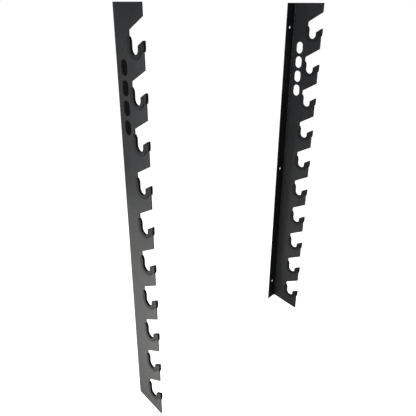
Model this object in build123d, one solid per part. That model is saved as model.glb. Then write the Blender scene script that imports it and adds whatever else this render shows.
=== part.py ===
from build123d import *
from math import cos, radians, tan
import os

# Wall rack for long round things such as cues: two upright rails that mirror each other.
# Each rail is a folded steel angle. Its deep plate stands out from the wall and is cut into
# hooks that open outwards, and its narrow flange lies on the wall and takes the screws.
# A moulded channel sits over the edge of every hook.
#
# Frame: origin at the centre of the four corner screw holes, on the wall. +X runs to the
# right along the wall, +Y into the wall and +Z up. Everything is in millimetres.
# Side outlines are drawn in u, the distance out from the wall, and height. The right rail
# and its liners are modelled, and the left ones are their mirror images.

# ---- Driving dimensions ----------------------------------------------------------------------
# Rails
HOOKS = 10  # on each rail
PITCH = 125.0  # from one hook to the next
RAIL_LENGTH = 1304.0  # down the front edge
FOOT_RISE = 11.5  # of the slanted lower end, from the front edge to the wall
RAIL_SPACING = 793.6  # between the outer faces of the two plates
PLATE_DEPTH = 122.8  # from the wall to the front edge
STEEL = 3.0  # sheet thickness
BEND_RADIUS = 3.0  # inside of the fold
FLANGE_WIDTH = 47.0  # from the plate's outer face to the flange's free edge
CORNER_RADIUS = 1.5  # of the rails' outer corners

# Screw holes
SCREW_HOLE_RADIUS = 5.0
SCREWS = 3  # in each rail
SCREW_SPACING = 560.0  # from one screw hole to the next
SCREW_TOP_DROP = 85.0  # from the rail's top to its first screw hole
SCREW_INSET = 25.5  # from the plate's outer face to the line of screw holes

# One hook. Drops are counted down from the top of its own pitch.
TOOTH_DROP = 31.0  # front corner above the mouth
LIP_ANGLE = 29.5  # slope of the mouth's upper edge
THROAT_U = 64.8  # back wall of the mouth
THROAT_RADIUS = 5.0
CUP_RADIUS = 21.5  # of the bare steel
CUP_DROP = 107.0  # centre of the cup
RAMP_ANGLE = 31.8  # slope of the hook's top
NOSE_DROP = 92.8  # front corner of the hook
HOOK_RADIUS = 2.0  # of the two corners on the hook's top

# Liner: a moulded channel that stands proud of the steel edge and wraps onto both faces.
LINER_PROUD = 6.0
LINER_OVERLAP = 6.0  # how far its cheeks reach past the steel edge
LINER_CHEEK = 2.75  # thickness of each cheek
LINER_BACK_DROP = 79.0  # its end on the back wall
LINER_FRONT_DROP = 112.0  # its end on the hook's front
LINER_FRONT_PROUD = 3.0  # on the hook's front
LINER_END = 1.5  # thickness of both ends on the steel edge
LINER_TAPER = 9.5  # length over which each end thickens
LINER_NOSE_RADIUS = 2.5
LINER_BLEND_RADIUS = 4.0
LINER_SOFTENING = 1.0  # rounding of its outer edges
CHEEK_TURN = 15.0  # below level, where the cheek leaves the cup's curve for the hook's front

# Ornament: a column of plain round-ended slots in the upper part of each plate.
SLOTS = 4
SLOT_WIDTH = 27.0
SLOT_HEIGHT = 42.0
SLOT_GAP = 11.0
SLOT_U = 36.3  # middle of the column
SLOTS_DROP = 236.0  # middle of the column, from the rail's top

OVERSIZE = 10.0  # by which cutting and trimming shapes run past the steel
TOUCH = 0.001

# ---- Places worked out from them -------------------------------------------------------------
RAIL_TOP = SCREW_TOP_DROP + SCREW_SPACING * (SCREWS - 1) / 2
OUTER_FACE = RAIL_SPACING / 2
PLATE_MIDDLE = OUTER_FACE - STEEL / 2
SCREW_X = OUTER_FACE - SCREW_INSET
CUP_U = THROAT_U + CUP_RADIUS
HOOK_U = CUP_U + CUP_RADIUS  # the cup's front wall


# ---- Drawing helpers -------------------------------------------------------------------------
def side_plane(x):
    """Plane square to X for outlines drawn in u and height. It faces -X."""
    return Plane(origin=(x, 0, 0), x_dir=(0, -1, 0), z_dir=(-1, 0, 0))


def hook_top(number):
    """Height of the top of one hook's pitch. Hook 1 is the highest."""
    return RAIL_TOP - PITCH * (number - 1)


def lip_height(u):
    """Upper edge of a hook's mouth, from the top of its pitch."""
    return -TOOTH_DROP - (PLATE_DEPTH - u) * tan(radians(LIP_ANGLE))


def ramp_height(u):
    """Steel top of a hook, from the top of its pitch."""
    return -NOSE_DROP - (PLATE_DEPTH - u) * tan(radians(RAMP_ANGLE))


def liner_ramp_height(u):
    """Moulded top of a hook: the steel ramp moved square to itself."""
    return ramp_height(u) + LINER_PROUD / cos(radians(RAMP_ANGLE))


def round_corners(outline, radius, *places):
    """Round the corners of a flat outline that lie at the given places."""
    corners = [
        corner
        for corner in outline.vertices()
        if any((Vector(corner) - Vector(*place)).length < TOUCH for place in places)
    ]
    return fillet(corners, radius)


# ---- Rail ------------------------------------------------------------------------------------
def mouth_outline():
    """Open space of one hook in the bare steel: a slanted mouth over a round cup."""
    outside = PLATE_DEPTH + OVERSIZE
    back_top = (THROAT_U, lip_height(THROAT_U))
    back_bottom = (THROAT_U, -CUP_DROP)
    front_bottom = (HOOK_U, -CUP_DROP)
    front_top = (HOOK_U, ramp_height(HOOK_U))
    edge = Polyline((outside, lip_height(outside)), back_top, back_bottom)
    edge += ThreePointArc(back_bottom, (CUP_U, -CUP_DROP - CUP_RADIUS), front_bottom)
    edge += Polyline(
        front_bottom,
        front_top,
        (outside, ramp_height(outside)),
        (outside, lip_height(outside)),
    )
    outline = round_corners(make_face(edge), THROAT_RADIUS, back_top)
    return round_corners(outline, HOOK_RADIUS, front_top)


def plate_outline():
    """Side outline of a plate with all its mouths and ornament slots."""
    foot = RAIL_TOP - RAIL_LENGTH
    behind = foot + FOOT_RISE * (PLATE_DEPTH + OVERSIZE) / PLATE_DEPTH
    teeth = [(PLATE_DEPTH, RAIL_TOP), (PLATE_DEPTH, foot)]
    edge = Polyline(*teeth, (-OVERSIZE, behind), (-OVERSIZE, RAIL_TOP), close=True)
    outline = make_face(edge)
    noses = []
    for number in range(1, HOOKS + 1):
        outline -= Pos(0, hook_top(number)) * mouth_outline()
        teeth.append((PLATE_DEPTH, hook_top(number) - TOOTH_DROP))
        noses.append((PLATE_DEPTH, hook_top(number) - NOSE_DROP))
    outline = round_corners(outline, CORNER_RADIUS, *teeth)
    outline = round_corners(outline, HOOK_RADIUS, *noses)
    for place in range(SLOTS):
        step = (place - (SLOTS - 1) / 2) * (SLOT_HEIGHT + SLOT_GAP)
        slot = SlotOverall(SLOT_HEIGHT, SLOT_WIDTH, rotation=90)
        outline -= Pos(SLOT_U, RAIL_TOP - SLOTS_DROP + step) * slot
    return outline


def folded_section():
    """Plan of the folded sheet, seen from above, with its plate left too deep."""
    inner_face = OUTER_FACE - STEEL
    free_edge = OUTER_FACE - FLANGE_WIDTH
    front = -PLATE_DEPTH - OVERSIZE
    edge = Polyline(
        (OUTER_FACE, front),
        (OUTER_FACE, 0),
        (free_edge, 0),
        (free_edge, -STEEL),
        (inner_face, -STEEL),
        (inner_face, front),
        close=True,
    )
    section = round_corners(make_face(edge), BEND_RADIUS + STEEL, (OUTER_FACE, 0))
    return round_corners(section, BEND_RADIUS, (inner_face, -STEEL))


def rail():
    """Right rail: the folded sheet trimmed to the side outline, with its screw holes."""
    sheet = Pos(0, 0, RAIL_TOP + OVERSIZE) * extrude(
        folded_section(), amount=RAIL_LENGTH + 2 * OVERSIZE, dir=(0, 0, -1)
    )
    trim = extrude(
        side_plane(OUTER_FACE + OVERSIZE) * plate_outline(),
        amount=FLANGE_WIDTH + 2 * OVERSIZE,
    )
    body = sheet & trim
    free_edge = OUTER_FACE - FLANGE_WIDTH
    free_corners = [
        e for e in body.edges() if abs(e.center().X - free_edge) < TOUCH and e.length < 2 * STEEL
    ]
    body = fillet(free_corners, CORNER_RADIUS)
    for place in range(SCREWS):
        height = RAIL_TOP - SCREW_TOP_DROP - place * SCREW_SPACING
        drill = Cylinder(SCREW_HOLE_RADIUS, 2 * OVERSIZE, rotation=(90, 0, 0))
        body -= Pos(SCREW_X, 0, height) * drill
    return body


# ---- Liner -----------------------------------------------------------------------------------
def liner_outline():
    """Side outline of one liner, cheeks included."""
    inside = CUP_RADIUS - LINER_PROUD
    wrapped = CUP_RADIUS + LINER_OVERLAP
    back = CUP_U - inside
    front = CUP_U + inside
    nose = PLATE_DEPTH + LINER_FRONT_PROUD

    back_end = (THROAT_U + LINER_END, -LINER_BACK_DROP)
    back_full = (back, -LINER_BACK_DROP - LINER_TAPER)
    ramp_foot = (front, liner_ramp_height(front))
    nose_tip = (nose, liner_ramp_height(nose))
    front_full = (nose, -LINER_FRONT_DROP + LINER_TAPER)
    front_end = (PLATE_DEPTH + LINER_END, -LINER_FRONT_DROP)
    turn = Vector(CUP_U, -CUP_DROP) + Vector(wrapped, 0).rotate(Axis.Z, -CHEEK_TURN)
    back_cheek = (CUP_U - wrapped, -LINER_BACK_DROP)

    edge = Polyline(back_cheek, back_end, back_full, (back, -CUP_DROP))
    edge += ThreePointArc(
        (back, -CUP_DROP), (CUP_U, -CUP_DROP - inside), (front, -CUP_DROP)
    )
    edge += Polyline(
        (front, -CUP_DROP), ramp_foot, nose_tip, front_full, front_end, turn
    )
    edge += ThreePointArc(
        turn, (CUP_U, -CUP_DROP - wrapped), (CUP_U - wrapped, -CUP_DROP)
    )
    edge += Line((CUP_U - wrapped, -CUP_DROP), back_cheek)

    outline = round_corners(make_face(edge), LINER_BLEND_RADIUS, back_cheek, back_full)
    outline = round_corners(outline, LINER_BLEND_RADIUS, front_full, tuple(turn))
    outline = round_corners(outline, HOOK_RADIUS, ramp_foot)
    return round_corners(outline, LINER_NOSE_RADIUS, nose_tip)


def liner(steel):
    """Liner of hook 1, cut out to fit over the steel edge."""
    width = STEEL + 2 * LINER_CHEEK
    plane = side_plane(PLATE_MIDDLE + width / 2)
    block = extrude(plane * Pos(0, hook_top(1)) * liner_outline(), amount=width)
    faces = block.faces().filter_by(Axis.X)
    rims = [edge for face in faces for edge in face.edges()]
    return fillet(rims, LINER_SOFTENING) - steel


# ---- The rack --------------------------------------------------------------------------------
def build():
    """Every piece by its node's name."""
    right_rail = rail()
    pieces = {"left_rail": mirror(right_rail, about=Plane.YZ), "right_rail": right_rail}
    first_liner = liner(right_rail)
    for number in range(1, HOOKS + 1):
        placed = Pos(0, 0, hook_top(number) - hook_top(1)) * first_liner
        pieces[f"left_liner_{number:02d}"] = mirror(placed, about=Plane.YZ)
        pieces[f"right_liner_{number:02d}"] = placed
    return pieces


os.makedirs("parts", exist_ok=True)
for name, shape in build().items():
    export_step(shape, f"parts/{name}.step")
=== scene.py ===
from math import pi, radians

import bpy
from mathutils import Matrix, Vector


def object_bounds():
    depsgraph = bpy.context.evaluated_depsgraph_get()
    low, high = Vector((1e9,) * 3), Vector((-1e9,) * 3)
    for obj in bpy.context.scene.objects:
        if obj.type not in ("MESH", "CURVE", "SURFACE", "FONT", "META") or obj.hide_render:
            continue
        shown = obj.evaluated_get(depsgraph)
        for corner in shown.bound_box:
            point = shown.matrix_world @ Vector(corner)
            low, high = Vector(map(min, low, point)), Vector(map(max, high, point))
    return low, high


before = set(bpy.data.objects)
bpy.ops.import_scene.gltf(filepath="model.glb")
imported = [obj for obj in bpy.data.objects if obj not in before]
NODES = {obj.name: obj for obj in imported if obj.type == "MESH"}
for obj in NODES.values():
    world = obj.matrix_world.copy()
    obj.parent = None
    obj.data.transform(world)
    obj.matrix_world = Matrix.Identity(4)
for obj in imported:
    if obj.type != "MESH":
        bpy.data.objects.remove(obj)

CAD_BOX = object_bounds()
RAILS = [name for name in sorted(NODES) if name.endswith("_rail")]
LINERS = [name for name in sorted(NODES) if "_liner_" in name]

# Camera: where the viewer stands and looks, in the rack's own frame.
CAMERA_AT = Vector((-1.051, -0.9925, 0.6420))
CAMERA_PAN = 45.126  # degrees to the right of square to the wall
CAMERA_TILT = 21.807  # degrees below level
CAMERA_ROLL = 0.238  # degrees about the line of sight
CAMERA_LENS = 37.639  # millimetres, as is the sensor's width
SENSOR_WIDTH = 36.0
CAMERA_SHIFT_Y = -0.07383  # of the picture's width

# Light: a dim room, and panels by name, each with its middle, its width and height, its radiance
# and its colour.
ROOM_LEVEL = 0.125
NEUTRAL = (1.0, 1.0, 1.0)
COOL = (0.84, 0.96, 1.20)
WARM = (1.02, 1.03, 0.95)
SOFTBOXES = {
    "side_upper_panel": ((-2.00, -0.12, 0.975), (1.10, 0.95), 4.2, NEUTRAL),
    "side_lower_panel": ((-2.00, -0.12, 0.025), (1.10, 0.95), 4.8, COOL),
    "near_upper_panel": ((-0.77, 0.07, 0.10), (0.50, 0.86), 1.05, WARM),
    "near_lower_panel": ((-0.77, 0.07, -0.76), (0.50, 0.86), 2.8, WARM),
    "low_panel": ((-0.95, 0.95, -1.45), (0.55, 0.60), 0.9, WARM),
    "back_panel": ((-1.03, 1.61, -1.20), (0.65, 0.95), 2.0, WARM),
    "far_side_panel": ((2.00, -0.12, 0.00), (1.10, 1.60), 2.0, NEUTRAL),
    "wall_side_panel": ((0.95, 1.90, 0.20), (1.00, 1.40), 2.0, NEUTRAL),
}

FLOOR_DROP = 0.35  # floor below the rails' lower ends
FLOOR_SIZE = 24.0

# Edges: how far the finish rounds them, in metres, and the turn of the surface, as a cosine, at
# which
# the edge marks begin and are full: wear and painted highlight on the steel, painted sheen on the
# liners.
STEEL_EDGE = 0.0008
LINER_EDGE = 0.0009
EDGE_WEAR_AND_SHEEN_BEGINS = 0.99
EDGE_WEAR_AND_SHEEN_FULL = 0.80


# ---- Node helpers ----------------------------------------------------------------------------
class Shader:
    """A material's node tree, with one short call for each node."""

    def __init__(self, name):
        self.material = bpy.data.materials.new(name)
        self.material.use_nodes = True
        self.tree = self.material.node_tree
        self.tree.nodes.clear()
        self.output = self.add("ShaderNodeOutputMaterial")
        self.surface = self.add("ShaderNodeBsdfPrincipled")
        self.join(self.surface.outputs["BSDF"], self.output.inputs["Surface"])
        self.place = self.add("ShaderNodeTexCoord").outputs["Object"]

    def add(self, kind, **settings):
        node = self.tree.nodes.new(kind)
        for key, value in settings.items():
            setattr(node, key, value)
        return node

    def join(self, start, end):
        self.tree.links.new(start, end)

    def set(self, **values):
        """Constants on the surface shader's own sockets."""
        for key, value in values.items():
            self.surface.inputs[key.replace("_", " ")].default_value = value

    def noise(self, scale, detail=2.0, roughness=0.5):
        node = self.add("ShaderNodeTexNoise")
        node.inputs["Scale"].default_value = scale
        node.inputs["Detail"].default_value = detail
        node.inputs["Roughness"].default_value = roughness
        self.join(self.place, node.inputs["Vector"])
        return node.outputs["Fac"]

    def spread(self, value, low, high, start=0.0, end=1.0):
        """Map a value from low..high to start..end, held at both ends."""
        node = self.add("ShaderNodeMapRange")
        node.inputs["From Min"].default_value = low
        node.inputs["From Max"].default_value = high
        node.inputs["To Min"].default_value = start
        node.inputs["To Max"].default_value = end
        self.join(value, node.inputs["Value"])
        return node.outputs["Result"]

    def math(self, operation, a, b):
        node = self.add("ShaderNodeMath", operation=operation)
        for socket, value in zip(node.inputs, (a, b)):
            if hasattr(value, "links"):
                self.join(value, socket)
            else:
                socket.default_value = value
        return node.outputs["Value"]

    def mix(self, factor, first, second):
        """Colour from first at factor 0 to second at factor 1."""
        node = self.add("ShaderNodeMix", data_type="RGBA")
        self.join(factor, node.inputs["Factor"])
        for key, value in (("A", first), ("B", second)):
            socket = [s for s in node.inputs if s.name == key and s.type == "RGBA"][0]
            if hasattr(value, "links"):
                self.join(value, socket)
            else:
                socket.default_value = (*value, 1)
        return [s for s in node.outputs if s.type == "RGBA"][0]

    def soft_edge(self, radius):
        """A normal that turns smoothly over sharp edges, and how far it has turned, from 0 to 1."""
        round_over = self.add("ShaderNodeBevel", samples=6)
        round_over.inputs["Radius"].default_value = radius
        normal = round_over.outputs["Normal"]
        turned = self.add("ShaderNodeVectorMath", operation="DOT_PRODUCT")
        self.join(normal, turned.inputs[0])
        self.join(self.add("ShaderNodeNewGeometry").outputs["Normal"], turned.inputs[1])
        return normal, self.spread(turned.outputs["Value"], EDGE_WEAR_AND_SHEEN_BEGINS, EDGE_WEAR_AND_SHEEN_FULL)

    def bump(self, height, distance, strength, under):
        """Small relief on top of the normal under it."""
        node = self.add("ShaderNodeBump")
        node.inputs["Distance"].default_value = distance
        node.inputs["Strength"].default_value = strength
        self.join(height, node.inputs["Height"])
        self.join(under, node.inputs["Normal"])
        return node.outputs["Normal"]


# ---- Materials -------------------------------------------------------------------------------
def powder_coat():
    """Satin black powder coat: orange peel and a fine grain, rubbed a little along its edges, where
    the colour is also lightened as a painted highlight.
    """
    s = Shader("powder_coat")
    cloud = s.spread(s.noise(8.0, 4.0), 0.3, 0.7)
    speck = s.noise(1500.0, 2.0)
    tone = s.mix(cloud, (0.0135, 0.0137, 0.0142), (0.0185, 0.0187, 0.0193))
    tone = s.mix(s.spread(speck, 0.60, 0.74, 0.0, 0.45), tone, (0.032, 0.032, 0.033))
    normal, edge = s.soft_edge(STEEL_EDGE)
    # Edge mask in patches: worn edges rubbed smoother, and a painted highlight that lightens the
    # edge colour
    edge_wear_and_highlight = s.math("MULTIPLY", edge, s.spread(s.noise(60.0, 4.0, 0.6), 0.45, 0.62))
    tone = s.mix(s.math("MULTIPLY", edge_wear_and_highlight, 0.55), tone, (0.075, 0.075, 0.076))
    s.join(tone, s.surface.inputs["Base Color"])

    satin = s.spread(s.noise(26.0, 5.0, 0.6), 0.3, 0.7, 0.345, 0.405)
    satin = s.math("ADD", satin, s.spread(s.noise(420.0, 2.0), 0.3, 0.7, -0.02, 0.02))
    satin = s.math("SUBTRACT", satin, s.math("MULTIPLY", edge_wear_and_highlight, 0.06))
    s.join(satin, s.surface.inputs["Roughness"])

    peel = s.bump(s.noise(480.0, 2.0), 0.0002, 0.14, normal)
    s.join(s.bump(speck, 0.00006, 0.18, peel), s.surface.inputs["Normal"])
    s.set(IOR=1.5)
    return s.material


def moulded_liner():
    """Matt black moulded rubber with a spark-eroded grain and faint flow clouds."""
    s = Shader("moulded_liner")
    cloud = s.spread(s.noise(34.0, 4.0, 0.55), 0.3, 0.7)
    grain = s.noise(1900.0, 3.0, 0.6)
    tone = s.mix(cloud, (0.0050, 0.0050, 0.0052), (0.0085, 0.0085, 0.0088))
    tone = s.mix(s.spread(grain, 0.60, 0.72, 0.0, 0.5), tone, (0.017, 0.017, 0.0175))
    normal, edge = s.soft_edge(LINER_EDGE)
    # Edge mask in patches: a painted sheen that lightens the liner's edge colour
    painted_edge_sheen = s.math("MULTIPLY", edge, s.spread(s.noise(130.0, 4.0, 0.6), 0.5, 0.66))
    tone = s.mix(s.math("MULTIPLY", painted_edge_sheen, 0.5), tone, (0.03, 0.03, 0.031))
    s.join(tone, s.surface.inputs["Base Color"])

    matt = s.spread(s.noise(70.0, 4.0, 0.6), 0.3, 0.7, 0.47, 0.58)
    s.join(matt, s.surface.inputs["Roughness"])

    pits = s.bump(s.noise(700.0, 2.0), 0.00015, 0.12, normal)
    s.join(s.bump(grain, 0.0001, 0.3, pits), s.surface.inputs["Normal"])
    s.set(IOR=1.38)
    return s.material


def floor_paint():
    """Plain pale floor with a faint unevenness."""
    s = Shader("floor_paint")
    tone = s.mix(s.spread(s.noise(1.5, 4.0), 0.3, 0.7), (0.90, 0.90, 0.90), (0.94, 0.94, 0.94))
    s.join(tone, s.surface.inputs["Base Color"])
    s.set(Roughness=0.8, Emission_Color=(1, 1, 1, 1), Emission_Strength=1.0)
    return s.material


def coat(names, material):
    """Give CAD nodes their finish."""
    for name in names:
        slots = NODES[name].data.materials
        slots.clear()
        slots.append(material)


# ---- Stage -----------------------------------------------------------------------------------
def floor():
    level = CAD_BOX[0].z - FLOOR_DROP
    bpy.ops.mesh.primitive_plane_add(size=FLOOR_SIZE, location=(0, 0, level))
    plane = bpy.context.object
    plane.name = "floor"
    plane.data.materials.append(floor_paint())
    plane.visible_diffuse = False
    plane.visible_glossy = False


def camera():
    data = bpy.data.cameras.new("camera")
    data.lens = CAMERA_LENS
    data.sensor_width = SENSOR_WIDTH
    data.shift_y = CAMERA_SHIFT_Y
    data.clip_start = 0.05
    data.clip_end = 100.0
    item = bpy.data.objects.new("camera", data)
    bpy.context.scene.collection.objects.link(item)
    pan = Matrix.Rotation(radians(-CAMERA_PAN), 4, "Z")
    tilt = Matrix.Rotation(radians(90 - CAMERA_TILT), 4, "X")
    roll = Matrix.Rotation(radians(CAMERA_ROLL), 4, "Z")
    item.matrix_world = Matrix.Translation(CAMERA_AT) @ pan @ tilt @ roll
    bpy.context.scene.camera = item


def softbox(name, at, size, radiance, colour):
    """Soft panel that faces the rack's middle line and doesn't show in the picture."""
    data = bpy.data.lights.new(name, "AREA")
    data.shape = "RECTANGLE"
    data.size, data.size_y = size
    data.energy = radiance * size[0] * size[1] * pi
    data.color = colour
    item = bpy.data.objects.new(name, data)
    at = Vector(at)
    item.location = at
    item.rotation_euler = (Vector((0, 0, at.z)) - at).to_track_quat("-Z", "Y").to_euler()
    item.visible_camera = False
    bpy.context.scene.collection.objects.link(item)


def studio():
    """White to look at, and dim all round but for the soft panels."""
    world = bpy.data.worlds.new("studio")
    world.use_nodes = True
    nodes, links = world.node_tree.nodes, world.node_tree.links
    path = nodes.new("ShaderNodeLightPath")
    level = nodes.new("ShaderNodeMapRange")
    level.inputs["To Min"].default_value = ROOM_LEVEL
    level.inputs["To Max"].default_value = 1.0
    links.new(path.outputs["Is Camera Ray"], level.inputs["Value"])
    background = nodes["Background"]
    background.inputs["Color"].default_value = (1, 1, 1, 1)
    links.new(level.outputs["Result"], background.inputs["Strength"])
    bpy.context.scene.world = world
    for name, values in SOFTBOXES.items():
        softbox(name, *values)


camera()
coat(RAILS, powder_coat())
coat(LINERS, moulded_liner())
floor()
studio()
bpy.context.scene.view_settings.view_transform = "Standard"
